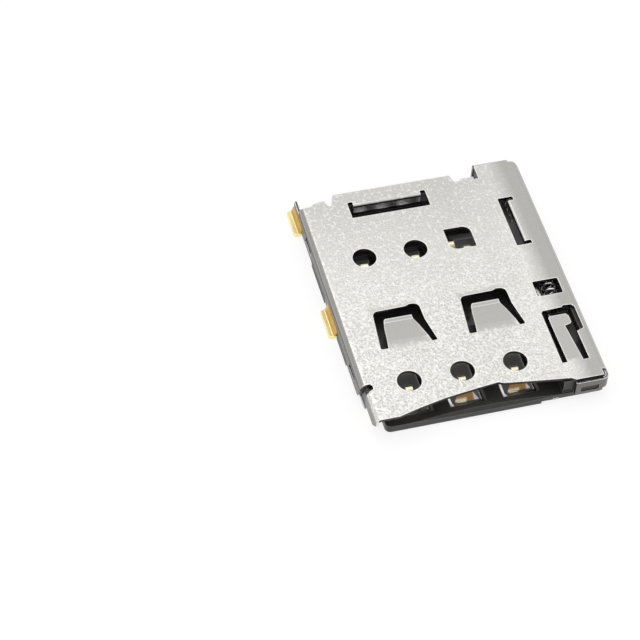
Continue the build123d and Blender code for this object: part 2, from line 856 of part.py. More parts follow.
def make_cam_pin():
    """A wire staple: pivot leg in the housing, long leg, and the leg that rides in the track."""
    bend = 0.24
    pivot = (pin_pivot_x, pin_pivot_y)
    tip = (pin_tip_x, pin_tip_y)
    path = FilletPolyline(
        (*pivot, floor_top + 0.10),
        (*pivot, pin_centre_z),
        (*tip, pin_centre_z),
        (*tip, track_bottom + 0.04),
        radius=bend,
    )
    section = Plane(origin=(*pivot, floor_top + 0.10), z_dir=(0, 0, 1)) * RegularPolygon(wire / 2, 8)
    return sweep(section, path=path)


def make_spring():
    """The compression coil between the slider and the channel's end wall, in short straight chords."""
    mean = spring_radius - spring_wire / 2
    start = spring_seat + spring_wire / 2 + 0.01
    length = channel_rear - 0.01 - spring_wire / 2 - start
    steps = round(length / spring_pitch) * chords_per_turn
    points = []
    for step in range(steps + 1):
        angle = 2 * math.pi * step / chords_per_turn
        x = spring_x + mean * math.cos(angle)
        z = spring_z + mean * math.sin(angle)
        points.append((x, start + length * step / steps, z))
    coil = Polyline(*points)
    section = Plane(origin=coil @ 0, z_dir=coil % 0) * RegularPolygon(spring_wire / 2, 4)
    return sweep(section, path=coil, transition=Transition.RIGHT)


# Housing
mouth_lip_left = -cavity_half + 0.37
mouth_step = -3.20
mouth_arm_bottom = 0.85
partition_open = (1.20, cavity_rear)
edge_break = 0.10


def floor_plan(lip_end):
    """The floor's outline; the front edge is set back to the right of lip_end."""
    setback = housing_front + front_setback
    plan = outline(
        (mouth_lip_left, housing_front),
        (lip_end, housing_front),
        (lip_end, setback),
        (housing_right, setback),
        (housing_right, corner_rear),
        (cavity_half - 0.10, corner_rear),
        (cavity_half - 0.10, housing_rear),
        (housing_left, housing_rear),
        (housing_left, mouth_step),
        (mouth_lip_left, mouth_step),
    )
    plan = fillet(corner_at(plan, mouth_lip_left, housing_front), 0.28)
    plan = fillet(corner_at(plan, housing_right, setback), flange_bend - sheet)
    return fillet(corner_at(plan, housing_right, corner_rear), 0.40)


def mouth_scoop():
    """The cutter for the shallow scoop that leads the card over the lip."""
    radius = scoop_half**2 / (2 * scoop_depth)
    slope = math.radians(scoop_slope)
    axis_y = housing_front - (radius - scoop_depth) * math.sin(slope)
    axis_z = floor_top + (radius - scoop_depth) * math.cos(slope)
    return Pos(scoop_x, axis_y, axis_z) * Rot(scoop_slope - 90, 0, 0) * Cylinder(radius, 3)


def housing_floor():
    floor = prism(floor_plan(setback_x), housing_bottom, lead_top)
    floor += prism(floor_plan(flange_left - 0.03), lead_top, floor_top)
    for y0, y1 in left_short_walls:
        top = short_wall_bottom - 0.02
        floor += block(shell_left, housing_left + 0.1, y0 + 0.03, y1 - 0.03, housing_bottom, top)
    ledge_left = shell_left + 0.05
    ledge_top = wall_bottom - 0.02
    front_ledge = (mouth_step + 0.65, left_mid_foot[0] - 0.05)
    rear_ledge = (left_mid_foot[1] + 0.05, left_rear_foot[0] - 0.05)
    for y0, y1 in (front_ledge, rear_ledge):
        floor += block(ledge_left, housing_left + 0.1, y0, y1, housing_bottom, ledge_top)
    y0, y1 = corner_rear - 0.1, corner_shell_rear - 0.03
    x0, x1 = corner_slit[1] + 0.02, housing_right - 0.4
    floor += block(x0, x1, y0, y1, housing_bottom, rear_flange_bottom - 0.02)
    return floor - mouth_scoop()


def mouth_arm(root):
    """The arm of the left rail that backs the cover's front corner, above its tucked-in foot."""
    x = shell_left + mouth_wall_inset + sheet + shell_fit
    section = outline(
        (x, mouth_arm_bottom),
        (-cavity_half, mouth_arm_bottom),
        (-cavity_half, housing_top),
        (x + edge_break, housing_top),
        (x, housing_top - edge_break),
    )
    return along_y(section, shell_front + 0.08, root + 0.05)


def housing_walls():
    rail_front = left_gap[0] + 0.02
    rail = block(housing_left, -cavity_half, rail_front, cavity_rear, floor_top - 0.05, housing_top)
    low = floor_top - 0.05
    x = rear_step_x + 0.16
    walls = rail + block(housing_left, x, cavity_rear, rear_left_edge - 0.20, low, housing_top)
    walls += mouth_arm(rail_front)
    step = rear_right_step_x - 0.30
    walls += block(x, step, cavity_rear, housing_rear, low, housing_top)
    walls += block(step, cavity_half, cavity_rear, rear_right_edge - 0.05, low, housing_top)
    setback = housing_front + front_setback
    side = rectangle(cavity_half, housing_right, setback, corner_rear)
    side = fillet(corner_at(side, housing_right, corner_rear), 0.40)
    side = fillet(corner_at(side, housing_right, setback), flange_bend - sheet)
    channel = rectangle(channel_left, channel_right, channel_front, channel_rear)
    walls += prism(side - channel, low, housing_top)
    opening = block(cavity_half - 0.1, channel_left + 0.1, *partition_open, floor_top, through)
    return walls - opening


def housing_envelope():
    """A block with its long top edges broken, so that the walls clear the shell's bends."""
    width = rectangle(housing_left, housing_right, 0, housing_top)
    tops = corner_at(width, housing_left, housing_top) + corner_at(width, housing_right, housing_top)
    width = chamfer(tops, edge_break)
    length = rectangle(housing_front, corner_rear, 0, housing_top)
    length = chamfer(corner_at(length, corner_rear, housing_top), edge_break)
    return along_y(width, housing_front, corner_rear) & along_x(length, housing_left, housing_right)


def housing_nubs():
    """Catches that stand in the shell's side windows."""
    nubs = []
    proud = shell_fit + sheet - 0.05
    play = 0.03
    for spans, face, side in ((left_windows, housing_left, -1), (right_windows, housing_right, 1)):
        for y0, y1 in spans:
            ramp = outline(
                (face - side * 0.05, window_low + play),
                (face + side * proud, window_low + play),
                (face + side * proud * 0.6, window_high - play),
                (face - side * 0.05, window_high - play),
            )
            nubs.append(along_y(ramp, y0 + play, y1 - play))
    x0, x1 = front_window
    setback = housing_front + front_setback
    y0, y1 = flange_front + 0.05, setback + 0.1
    nubs.append(block(x0 + play, x1 - play, y0, y1, window_low + play, window_high - play))
    return nubs


def floor_windows():
    """Openings in the floor round the contacts, between the leads and at the rear."""
    cutters = []
    half = front_pocket[0] / 2
    for x in columns:
        cutters.append(prism(rectangle(x - half, x + half, *front_pocket[1:]), 0, through))
    half = rear_pocket[0] / 2
    for column in columns[:2]:
        x = rear_centre(column)
        cutters.append(prism(rectangle(x - half, x + half, *rear_pocket[1:]), 0, through))
    third = outline(
        (detect_left, detect_front),
        (1.85, detect_front),
        (1.85, rear_pocket[1]),
        (third_right, rear_pocket[1]),
        (third_right, pocket_rear),
        (detect_left, pocket_rear),
    )
    cutters.append(prism(third, 0, through))
    cutters.append(prism(rectangle(-0.22, 2.30, -0.95, 0.02, 0.22), 0, lead_bottom))
    cutters.append(prism(rectangle(0.02, 2.12, -0.62, 0.02), 0, through))
    for x in (0.28, 1.06, 1.86):
        cutters.append(block(x - 0.19, x + 0.19, -0.05, 0.40, 0, through))
    for x, y, hole in (left_ring, right_ring):
        cutters.append(disc(x, y, hole + 0.40, 0, lead_bottom))
        cutters.append(disc(x, y, hole - 0.02, 0, through))
    for index in range(7):
        x = tail_x(index) + tail_pitch / 2
        cutters.append(peephole(x, eye_y, eye_recess, 0, lead_bottom))
        cutters.append(peephole(x, eye_y, eye_hole, 0, through))
    return cutters


def floor_marks():
    """Blind openings under the floor that show the lead frame."""
    cutters = []
    spots = [(-strip_x + 0.10, -0.38, 0.58), (strip_x - 0.12, -2.70, 0.44)]
    spots += [(-1.46, 2.00, 0.48), (-1.43, 5.56, 0.48), (2.18, 5.53, 0.52)]
    spots += [(-2.56, 5.31, 0.52), (-0.06, 5.30, 0.52)]
    for x, y, size in spots:
        cutters.append(peephole(x, y, size, 0, lead_bottom))
    for y in (1.76, 4.44):
        cutters.append(block(strip_x - 0.19, strip_x + 0.08, y, y + 0.50, 0, lead_bottom))
    cutters.append(block(-strip_x - 0.08, -strip_x + 0.22, 1.80, 4.94, 0, lead_bottom))
    return cutters


def make_housing(embedded):
    housing = housing_floor() + (housing_walls() & housing_envelope())
    for nub in housing_nubs():
        housing += nub
    plate_top = housing_bottom + sheet
    housing -= block(channel_left, channel_right, channel_front, channel_rear, plate_top, through)
    housing -= block(channel_left + 0.64, channel_right, plate_rear, channel_rear, 0, through)
    for cutter in floor_windows() + floor_marks():
        housing -= cutter
    for piece in embedded:
        housing -= piece
    hole = wire + 0.05
    housing -= disc(pin_pivot_x, pin_pivot_y, hole, floor_top + 0.05, through)
    sweep_zone = outline(
        (pin_pivot_x - 0.16, pin_pivot_y),
        (pin_pivot_x + 0.16, pin_pivot_y),
        (pin_pivot_x + 0.20, channel_front + 0.1),
        (pin_pivot_x - 0.30, channel_front + 0.1),
    )
    relief = prism(sweep_zone, pin_centre_z - wire / 2 - 0.04, through)
    relief += disc(pin_pivot_x, pin_pivot_y, 0.34, pin_centre_z - 0.24, through)
    return housing - relief


def main():
    os.makedirs("parts", exist_ok=True)
    pieces = make_contacts()
    pieces["detect_contact"] = make_detect_contact()
    pieces["left_lead_strip"] = make_left_strip()
    pieces["right_lead_strip"] = make_right_strip()
    pieces["bottom_plate"] = make_bottom_plate()
    pieces["housing"] = make_housing(list(pieces.values()))
    pieces["shell"] = make_shell()
    pieces["slider"] = make_slider()
    pieces["cam_pin"] = make_cam_pin()
    pieces["eject_spring"] = make_spring()
    for name, solid in pieces.items():
        export_step(solid, "parts/" + name + ".step")


main()
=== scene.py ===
import math

import bpy
from bpy.props import FloatProperty, FloatVectorProperty, IntProperty, PointerProperty
from mathutils import Matrix, Vector


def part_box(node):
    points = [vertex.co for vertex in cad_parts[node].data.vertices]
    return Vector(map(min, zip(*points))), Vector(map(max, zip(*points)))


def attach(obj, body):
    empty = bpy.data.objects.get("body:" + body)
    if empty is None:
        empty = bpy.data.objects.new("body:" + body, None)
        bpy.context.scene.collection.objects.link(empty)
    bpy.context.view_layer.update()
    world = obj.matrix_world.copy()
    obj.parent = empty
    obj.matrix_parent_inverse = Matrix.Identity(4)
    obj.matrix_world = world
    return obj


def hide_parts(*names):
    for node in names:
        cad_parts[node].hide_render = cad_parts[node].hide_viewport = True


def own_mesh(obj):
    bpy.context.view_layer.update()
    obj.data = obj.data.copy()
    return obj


bl_info = {
    "name": "Card Socket",
    "version": (1, 0, 0),
    "blender": (4, 5, 0),
    "location": "View3D > Sidebar > Card Socket",
    "description": "Finishes and springs for a push-push sim card socket",
    "category": "Add Mesh",
}

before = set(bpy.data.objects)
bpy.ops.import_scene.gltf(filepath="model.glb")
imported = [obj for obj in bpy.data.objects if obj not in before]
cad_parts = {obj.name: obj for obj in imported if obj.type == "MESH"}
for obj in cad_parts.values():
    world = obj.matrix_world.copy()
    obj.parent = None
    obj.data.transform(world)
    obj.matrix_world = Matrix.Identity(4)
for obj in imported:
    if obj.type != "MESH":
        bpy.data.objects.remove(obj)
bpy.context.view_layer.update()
spring_low, spring_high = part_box("eject_spring")

MM = 0.001
CONTACTS = (
    "contact_front_left",
    "contact_front_middle",
    "contact_front_right",
    "contact_rear_left",
    "contact_rear_middle",
    "contact_rear_right",
    "detect_contact",
)
STRIPS = ("left_lead_strip", "right_lead_strip")
FRONT_COLUMNS = (-2.54, 0.0, 2.54)
LEFT_FEET = ((0.38, 2.12), (6.98, 8.60))
RIGHT_FEET = ((-4.77, -3.18), (0.95, 2.22), (5.40, 6.67))

# A limit so far from the part, in millimetres, that it leaves that side open
FAR = 50


def soft_box(x=(-FAR, FAR), y=(-FAR, FAR), z=(-FAR, FAR), soft=0.05):
    """A place on the part in millimetres: low corner, high corner and softness of the sides."""
    return (x[0], y[0], z[0]), (x[1], y[1], z[1]), soft


TONGUES = (
    soft_box(x=(-3.05, -1.0), y=(-1.70, 0.6), z=(0.5, 1.6), soft=0.4),
    soft_box(x=(1.22, 3.30), y=(-1.70, 0.6), z=(0.5, 1.6), soft=0.4),
    soft_box(x=(4.75, 6.1), y=(-4.30, -1.3), z=(0.5, 1.6), soft=0.3),
)
SLIDER_STRIP = soft_box(x=(5.35, FAR), soft=0.9)
RIGHT_SIDE = soft_box(x=(4.0, FAR), soft=3.0)
REAR_HALF = soft_box(y=(2.0, FAR), soft=5.0)
# Where the sheet is painted darker towards the back, as painted shade
REAR_SHADE = soft_box(y=(4.0, FAR), soft=7.0)
# The folded-down walls, which take painted shade
COVER_WALLS = (
    soft_box(x=(-FAR, -4.63), soft=0.05),
    soft_box(x=(6.35, FAR), z=(-FAR, 1.27), soft=0.08),
    soft_box(x=(4.80, FAR), y=(-FAR, -5.42), z=(-FAR, 1.30), soft=0.05),
    soft_box(x=(4.30, FAR), y=(8.48, FAR), z=(-FAR, 1.27), soft=0.08),
)
# The outside of the left bend, which takes painted shade
LEFT_FOLD = soft_box(x=(-FAR, -4.63), z=(1.10, FAR), soft=0.05)
# The crease below the left bend, painted as a dark line of shade
LEFT_CREASE = soft_box(x=(-FAR, -4.70), z=(0.92, 1.12), soft=0.03)
TOP_SHEET = soft_box(x=(-4.50, 6.28), z=(1.20, 1.38), soft=0.02)
MOUTH_FOOT = soft_box(x=(-FAR, -4.0), y=(-4.85, -3.7), z=(-FAR, 0.30), soft=0.02)
# The feet's flat pads, which take a painted highlight
FOOT_PADS = soft_box(z=(-FAR, 0.18), soft=0.03)
TAILS = soft_box(y=(7.75, FAR), soft=0.1)
# The contacts' tips, painted with a pale gold highlight
CONTACT_TIPS = soft_box(z=(0.84, FAR), soft=0.05)
# The beams' slopes, painted with a dark reflection
BEAM_SLOPES = soft_box(y=(-5.0, 5.0), z=(0.16, 0.80), soft=0.10)
# The face that lies on the board, which takes painted light
BOARD_SIDE = soft_box(z=(-FAR, 0.10), soft=0.04)

# The same, measured from the middle of each front contact
# A spot at each front beam's root, painted as a highlight and raised as a small bump
BEAM_ROOT = soft_box(x=(-0.50, -0.02), y=(-4.80, -4.66), soft=0.16)
BEAM_SIDE = soft_box(x=(0.36, 0.80), y=(-5.0, -3.9), z=(0.1, 0.6), soft=0.08)
# The frame's edge beside each front beam, painted as a highlight
FRAME_EDGE = soft_box(x=(-0.95, -0.67), y=(-5.2, -3.0), z=(0.1, 0.4), soft=0.03)
FRONT_OPENING = soft_box(x=(-0.72, 0.74), y=(-4.75, -2.45), soft=0.12)

# The floor sheet under the part: all of it, which loses its glow as a painted shadow; where the tray
# is closed; and the tray's other openings
COVERED_FLOOR = (
    soft_box(x=(-4.60, 6.45), y=(-3.90, 7.70), soft=0.12),
    soft_box(x=(-3.95, 6.45), y=(-5.25, -3.70), soft=0.12),
)
CLOSED_TRAY = soft_box(x=(-4.30, 6.20), y=(-5.00, 7.40), soft=0.25)
TRAY_OPENINGS = (
    soft_box(x=(-3.24, -1.82), y=(2.25, 4.80), soft=0.12),
    soft_box(x=(-0.70, 0.72), y=(2.25, 4.80), soft=0.12),
    soft_box(x=(1.05, 3.30), y=(2.25, 4.80), soft=0.12),
    soft_box(x=(-0.22, 2.30), y=(-0.70, 0.40), soft=0.12),
)


class CoverFinish(bpy.types.PropertyGroup):
    steel: FloatVectorProperty(
        name="Steel",
        description="Colour of the matt stamped cover",
        subtype="COLOR",
        default=(0.96, 0.946, 0.90),
    )
    pressed: FloatVectorProperty(
        name="Pressed Steel",
        description="Colour where the sheet was pressed smooth, over the slider",
        subtype="COLOR",
        default=(0.55, 0.538, 0.51),
    )
    tongues: FloatVectorProperty(
        name="Tongues",
        description="Colour of the smooth sprung tongues",
        subtype="COLOR",
        default=(0.615, 0.603, 0.571),
    )
    pits: FloatVectorProperty(
        name="Pits",
        description="Colour in the hollows of the frosted grain",
        subtype="COLOR",
        default=(0.58, 0.571, 0.543),
    )
    # Rough torn steel, darkened far below the sheet as painted shade inside the holes
    punched: FloatVectorProperty(
        name="Punched Faces",
        description="Torn steel inside the holes and slots, darkened further as painted shade",
        subtype="COLOR",
        default=(0.06, 0.058, 0.055),
    )
    # Painted shade: a dark line in the crease of the left bend
    crease: FloatVectorProperty(
        name="Crease",
        description="Painted dark line of shade along the inside of the left bend",
        subtype="COLOR",
        default=(0.02, 0.019, 0.018),
    )
    # Painted shade on the left bend, where it turns away from the light
    bend: FloatVectorProperty(
        name="Bend",
        description="Painted shade on the outside of the left bend",
        subtype="COLOR",
        default=(0.37, 0.36, 0.34),
    )
    # Painted shade: the folded-down walls are darker than the top sheet
    walls: FloatVectorProperty(
        name="Bent Walls",
        description="Painted shade on the walls that were folded down",
        subtype="COLOR",
        default=(0.185, 0.18, 0.172),
    )
    # Painted highlight: near-white rims on the edges and glints on the grain
    cover_highlight: FloatVectorProperty(
        name="Cover Highlight",
        description="Painted highlight along the sheared edges and on the grain's glints",
        subtype="COLOR",
        default=(1.0, 0.995, 0.98),
    )
    grain: FloatProperty(
        name="Grain Size",
        description="Size of the grain that the frosting leaves",
        subtype="DISTANCE",
        unit="LENGTH",
        default=0.00005,
    )
    roughness: FloatProperty(
        name="Roughness",
        description="Roughness of the frosted face",
        default=0.32,
        min=0.05,
        max=1.0,
    )


class PlatingFinish(bpy.types.PropertyGroup):
    gold: FloatVectorProperty(
        name="Gold",
        description="Colour of the gold flash on the feet, tails and contact tips",
        subtype="COLOR",
        default=(0.86, 0.64, 0.27),
    )
    # Painted reflection: the dark surroundings reflected in the beams' gold slopes
    slope_reflection: FloatVectorProperty(
        name="Slope Reflection",
        description="Browner gold of the beams' slopes, painted as their dark reflection",
        subtype="COLOR",
        default=(0.27, 0.16, 0.065),
    )
    # Painted highlight: pale gold on the contact tips, the beam roots and the feet's pads
    gold_highlight: FloatVectorProperty(
        name="Gold Highlight",
        description="Pale gold painted as highlight on the contact tips, the beam roots and the feet's pads",
        subtype="COLOR",
        default=(1.0, 0.92, 0.70),
    )
    nickel: FloatVectorProperty(
        name="Nickel",
        description="Colour of the bare nickel on the contact frames",
        subtype="COLOR",
        default=(0.52, 0.515, 0.50),
    )
    # Painted highlight on the front frames' edges
    frame_highlight: FloatVectorProperty(
        name="Frame Highlight",
        description="Painted highlight on the frame edges that show in the mouth",
        subtype="COLOR",
        default=(0.98, 0.97, 0.94),
    )
    # Painted highlight along the contacts' sharp edges
    contact_edge_highlight: FloatVectorProperty(
        name="Contact Edge Highlight",
        description="Painted highlight along the sharp edges of the contacts",
        subtype="COLOR",
        default=(0.95, 0.93, 0.87),
    )
    foot_height: FloatProperty(
        name="Foot Plating Height",
        description="How far up from the board the feet are plated",
        subtype="DISTANCE",
        unit="LENGTH",
        default=0.00060,
    )
    tip_height: FloatProperty(
        name="Tip Plating Height",
        description="Height above the board from which the beams are plated",
        subtype="DISTANCE",
        unit="LENGTH",
        default=0.00030,
    )


class PlasticFinish(bpy.types.PropertyGroup):
    housing: FloatVectorProperty(
        name="Housing",
        description="Colour of the moulded housing",
        subtype="COLOR",
        default=(0.026, 0.0253, 0.0244),
    )
    fibres_and_edge_highlight: FloatVectorProperty(
        name="Fibres and Edge Highlight",
        description="Paler colour of the fibres on the moulding's skin; four times this is painted as highlight along the edges",
        subtype="COLOR",
        default=(0.050, 0.049, 0.048),
    )
    slider: FloatVectorProperty(
        name="Slider",
        description="Colour of the moulded slider",
        subtype="COLOR",
        default=(0.020, 0.0196, 0.019),
    )
    # Painted light: a lighter copy of the housing's plastic on its board side
    lit_board_side: FloatVectorProperty(
        name="Lit Board Side",
        description="Lighter colour painted on the face that lies on the board, as painted light",
        subtype="COLOR",
        default=(0.085, 0.085, 0.088),
    )


class WireSizes(bpy.types.PropertyGroup):
    spring_wire: FloatProperty(
        name="Spring Wire",
        description="Diameter of the eject spring's wire",
        subtype="DISTANCE",
        unit="LENGTH",
        default=0.00012,
    )
    turns: IntProperty(
        name="Turns",
        description="Working turns of the eject spring",
        default=23,
        min=4,
        max=60,
    )
    steel: FloatVectorProperty(
        name="Wire Steel",
        description="Colour of the spring and pin wire",
        subtype="COLOR",
        default=(0.96, 0.95, 0.92),
    )


class StageSettings(bpy.types.PropertyGroup):
    floor: FloatVectorProperty(
        name="Floor",
        description="Colour of the floor sheet",
        subtype="COLOR",
        default=(0.97, 0.97, 0.97),
    )
    floor_seen: FloatVectorProperty(
        name="Floor as Seen",
        description="Part of the floor's colour that takes the shadow, as the camera sees it",
        subtype="COLOR",
        default=(0.24, 0.24, 0.24),
    )
    floor_glow: FloatProperty(
        name="Floor Glow",
        description="Part of the floor's white that the camera and reflections see without shadow",
        default=0.80,
        min=0.0,
        max=1.0,
    )
    under_glow: FloatProperty(
        name="Light From Below",
        description="Light that reaches the underside, which the camera does not see on the floor",
        default=0.11,
        min=0.0,
    )
    plate_glow: FloatProperty(
        name="Light Below Solid Parts",
        description="The same where the floor of the tray is closed, so that no light gets inside",
        default=0.75,
        min=0.0,
    )
    fill: FloatProperty(
        name="Fill Light",
        description="Strength of the light from all around",
        default=0.80,
        min=0.0,
    )
    softbox: FloatProperty(
        name="Softbox",
        description="Power of the overhead softbox",
        subtype="POWER",
        unit="POWER",
        default=0.10,
        min=0.0,
    )
    lens: FloatProperty(
        name="Lens",
        description="Focal length on a 36 mm sensor",
        subtype="DISTANCE_CAMERA",
        unit="CAMERA",
        default=121.6,
    )


# Shader helpers


def link(tree, source, target):
    tree.links.new(source, target)


def value_node(tree, operation, first, second=None, clamp=False):
    """A Math node whose inputs are sockets or plain numbers."""
    node = tree.nodes.new("ShaderNodeMath")
    node.operation = operation
    node.use_clamp = clamp
    for index, item in enumerate((first, second)):
        if item is None:
            continue
        if isinstance(item, (int, float)):
            node.inputs[index].default_value = item
        else:
            link(tree, item, node.inputs[index])
    return node.outputs[0]


def times(tree, first, second):
    return value_node(tree, "MULTIPLY", first, second)


def plus(tree, first, second):
    return value_node(tree, "ADD", first, second)


def colour_mix(tree, factor, first, second):
    """A Mix node for colours; each colour is a socket or a tuple."""
    node = tree.nodes.new("ShaderNodeMix")
    node.data_type = "RGBA"
    link(tree, factor, node.inputs[0])
    for socket, item in ((node.inputs[6], first), (node.inputs[7], second)):
        if isinstance(item, bpy.types.NodeSocket):
            link(tree, item, socket)
        else:
            socket.default_value = (*item, 1.0)
    return node.outputs[2]


def span(tree, source, low, high, to_low=0.0, to_high=1.0):
    """Maps low..high of a value onto to_low..to_high and clamps it."""
    node = tree.nodes.new("ShaderNodeMapRange")
    node.inputs["From Min"].default_value = low
    node.inputs["From Max"].default_value = high
    node.inputs["To Min"].default_value = to_low
    node.inputs["To Max"].default_value = to_high
    link(tree, source, node.inputs["Value"])
    return node.outputs[0]


def between(tree, mask, off, on):
    """One value where a mask is nought and another where it is one."""
    return span(tree, mask, 0.0, 1.0, off, on)


def tinted(colour, *shares):
    """A colour with all channels, or each channel, times a share."""
    if len(shares) == 1:
        shares = shares * 3
    return [item * share for item, share in zip(colour, shares)]


def new_group(name, inputs, outputs):
    group = bpy.data.node_groups.new(name, "ShaderNodeTree")
    for label, kind, default in inputs:
        socket = group.interface.new_socket(label, in_out="INPUT", socket_type=kind)
        socket.default_value = default
    for label, kind in outputs:
        group.interface.new_socket(label, in_out="OUTPUT", socket_type=kind)
    return group, group.nodes.new("NodeGroupInput"), group.nodes.new("NodeGroupOutput")


def place(tree, name, **values):
    """Puts a node group into a material with its own values."""
    node = tree.nodes.new("ShaderNodeGroup")
    node.node_tree = bpy.data.node_groups[name]
    for label, item in values.items():
        socket = node.inputs[label.replace("_", " ").title()]
        if isinstance(item, bpy.types.NodeSocket):
            link(tree, item, socket)
        else:
            socket.default_value = item
    return node


def texture(group, kind, vector, fineness, size, **settings):
    """A noise or Voronoi node whose scale is a fineness divided by a size."""
    node = group.nodes.new(kind)
    for label, item in settings.items():
        node.inputs[label].default_value = item
    link(group, vector, node.inputs["Vector"])
    link(group, value_node(group, "DIVIDE", fineness, size), node.inputs["Scale"])
    return node.outputs[0]


def build_grain_group():
    """Frosted grain: flecks of light and dark with a height, and broad soft patches."""
    inputs = (
        ("Size", "NodeSocketFloat", 0.00007),
        ("Stretch", "NodeSocketFloat", 1.0),
        ("Patch Size", "NodeSocketFloat", 0.0012),
    )
    outputs = (
        ("Fleck", "NodeSocketFloat"),
        ("Height", "NodeSocketFloat"),
        ("Patch", "NodeSocketFloat"),
        ("Sparkle", "NodeSocketFloat"),
    )
    group, source, target = new_group("Frosted Grain", inputs, outputs)
    where = group.nodes.new("ShaderNodeTexCoord").outputs["Object"]
    stretch = group.nodes.new("ShaderNodeCombineXYZ")
    stretch.inputs[1].default_value = 1.0
    stretch.inputs[2].default_value = 1.0
    link(group, source.outputs["Stretch"], stretch.inputs[0])
    scaled = group.nodes.new("ShaderNodeVectorMath")
    scaled.operation = "MULTIPLY"
    link(group, where, scaled.inputs[0])
    link(group, stretch.outputs[0], scaled.inputs[1])
    drawn = scaled.outputs[0]
    size = source.outputs["Size"]
    noise = "ShaderNodeTexNoise"
    fine = texture(group, noise, drawn, 0.5, size, Detail=3.0, Roughness=0.62)
    pits = texture(group, "ShaderNodeTexVoronoi", drawn, 0.8, size)
    broad = texture(group, noise, where, 1.0, source.outputs["Patch Size"], Detail=2.0)
    glints = texture(group, noise, drawn, 0.26, size, Detail=1.0)
    link(group, span(group, fine, 0.36, 0.66), target.inputs["Fleck"])
    link(group, plus(group, fine, times(group, pits, 0.35)), target.inputs["Height"])
    link(group, span(group, broad, 0.35, 0.65), target.inputs["Patch"])
    link(group, span(group, glints, 0.55, 0.66), target.inputs["Sparkle"])


def build_edge_group():
    """Broken edges: a partly rounded normal, and a mask that is one along sharp edges."""
    inputs = (("Radius", "NodeSocketFloat", 0.00003), ("Rounding", "NodeSocketFloat", 1.0))
    outputs = (("Edge", "NodeSocketFloat"), ("Normal", "NodeSocketVector"))
    group, source, target = new_group("Broken Edge", inputs, outputs)
    bevel = group.nodes.new("ShaderNodeBevel")
    bevel.samples = 6
    link(group, source.outputs["Radius"], bevel.inputs["Radius"])
    flat = group.nodes.new("ShaderNodeNewGeometry")
    turn = group.nodes.new("ShaderNodeVectorMath")
    turn.operation = "DOT_PRODUCT"
    link(group, bevel.outputs[0], turn.inputs[0])
    link(group, flat.outputs["Normal"], turn.inputs[1])
    link(group, span(group, turn.outputs["Value"], 0.9995, 0.97), target.inputs["Edge"])
    lean = group.nodes.new("ShaderNodeMix")
    lean.data_type = "VECTOR"
    link(group, source.outputs["Rounding"], lean.inputs[0])
    link(group, flat.outputs["Normal"], lean.inputs[4])
    link(group, bevel.outputs[0], lean.inputs[5])
    link(group, lean.outputs[1], target.inputs["Normal"])


def build_zone_group():
    """A soft-sided box in the part's own space, one inside and nought outside."""
    inputs = (
        ("Low", "NodeSocketVector", (0.0, 0.0, 0.0)),
        ("High", "NodeSocketVector", (0.0, 0.0, 0.0)),
        ("Softness", "NodeSocketFloat", 0.0001),
    )
    group, source, target = new_group("Zone", inputs, (("Mask", "NodeSocketFloat"),))
    where = group.nodes.new("ShaderNodeTexCoord")
    spot = group.nodes.new("ShaderNodeSeparateXYZ")
    low = group.nodes.new("ShaderNodeSeparateXYZ")
    high = group.nodes.new("ShaderNodeSeparateXYZ")
    link(group, where.outputs["Object"], spot.inputs[0])
    link(group, source.outputs["Low"], low.inputs[0])
    link(group, source.outputs["High"], high.inputs[0])
    inside = None
    for axis in range(3):
        above = value_node(group, "SUBTRACT", spot.outputs[axis], low.outputs[axis])
        below = value_node(group, "SUBTRACT", high.outputs[axis], spot.outputs[axis])
        depth = value_node(group, "MINIMUM", above, below)
        inside = depth if inside is None else value_node(group, "MINIMUM", inside, depth)
    share = value_node(group, "DIVIDE", inside, source.outputs["Softness"])
    link(group, value_node(group, "ADD", share, 0.5, clamp=True), target.inputs["Mask"])


def new_material(name, metallic):
    material = bpy.data.materials.new(name)
    material.use_nodes = True
    tree = material.node_tree
    shader = tree.nodes["Principled BSDF"]
    shader.inputs["Metallic"].default_value = metallic
    return material, tree, shader


def bump(tree, height, strength, distance, normal=None):
    node = tree.nodes.new("ShaderNodeBump")
    node.inputs["Strength"].default_value = strength
    node.inputs["Distance"].default_value = distance
    link(tree, height, node.inputs["Height"])
    if normal is not None:
        link(tree, normal, node.inputs["Normal"])
    return node.outputs[0]


def zone(tree, low, high, softness):
    """A Zone node's mask for a soft box in millimetres."""
    low = tuple(item * MM for item in low)
    high = tuple(item * MM for item in high)
    return place(tree, "Zone", low=low, high=high, softness=softness * MM).outputs["Mask"]


def any_of(tree, masks):
    total = masks[0]
    for mask in masks[1:]:
        total = value_node(tree, "MAXIMUM", total, mask)
    return total


def zones(tree, boxes):
    """One mask for several boxes."""
    return any_of(tree, [zone(tree, *item) for item in boxes])


def on_columns(around):
    """A box at each front contact, from one measured from the contact's middle."""
    low, high, soft = around
    return [((x + low[0], *low[1:]), (x + high[0], *high[1:]), soft) for x in FRONT_COLUMNS]


def feet_mask(tree, plating):
    """The plated feet, up to the plating's height, and the one tucked in by the mouth."""
    up = (-FAR, plating.foot_height / MM)
    feet = [soft_box(x=(-FAR, -4.74), y=ends, z=up, soft=0.02) for ends in LEFT_FEET]
    feet += [soft_box(x=(6.56, FAR), y=ends, z=up, soft=0.02) for ends in RIGHT_FEET]
    return zones(tree, [*feet, MOUTH_FOOT])


def upward_mask(tree):
    """How far a face looks up or down, from nought for a wall to one for a flat face."""
    facing = tree.nodes.new("ShaderNodeNewGeometry")
    turned = tree.nodes.new("ShaderNodeSeparateXYZ")
    link(tree, facing.outputs["Normal"], turned.inputs[0])
    return value_node(tree, "ABSOLUTE", turned.outputs[2])


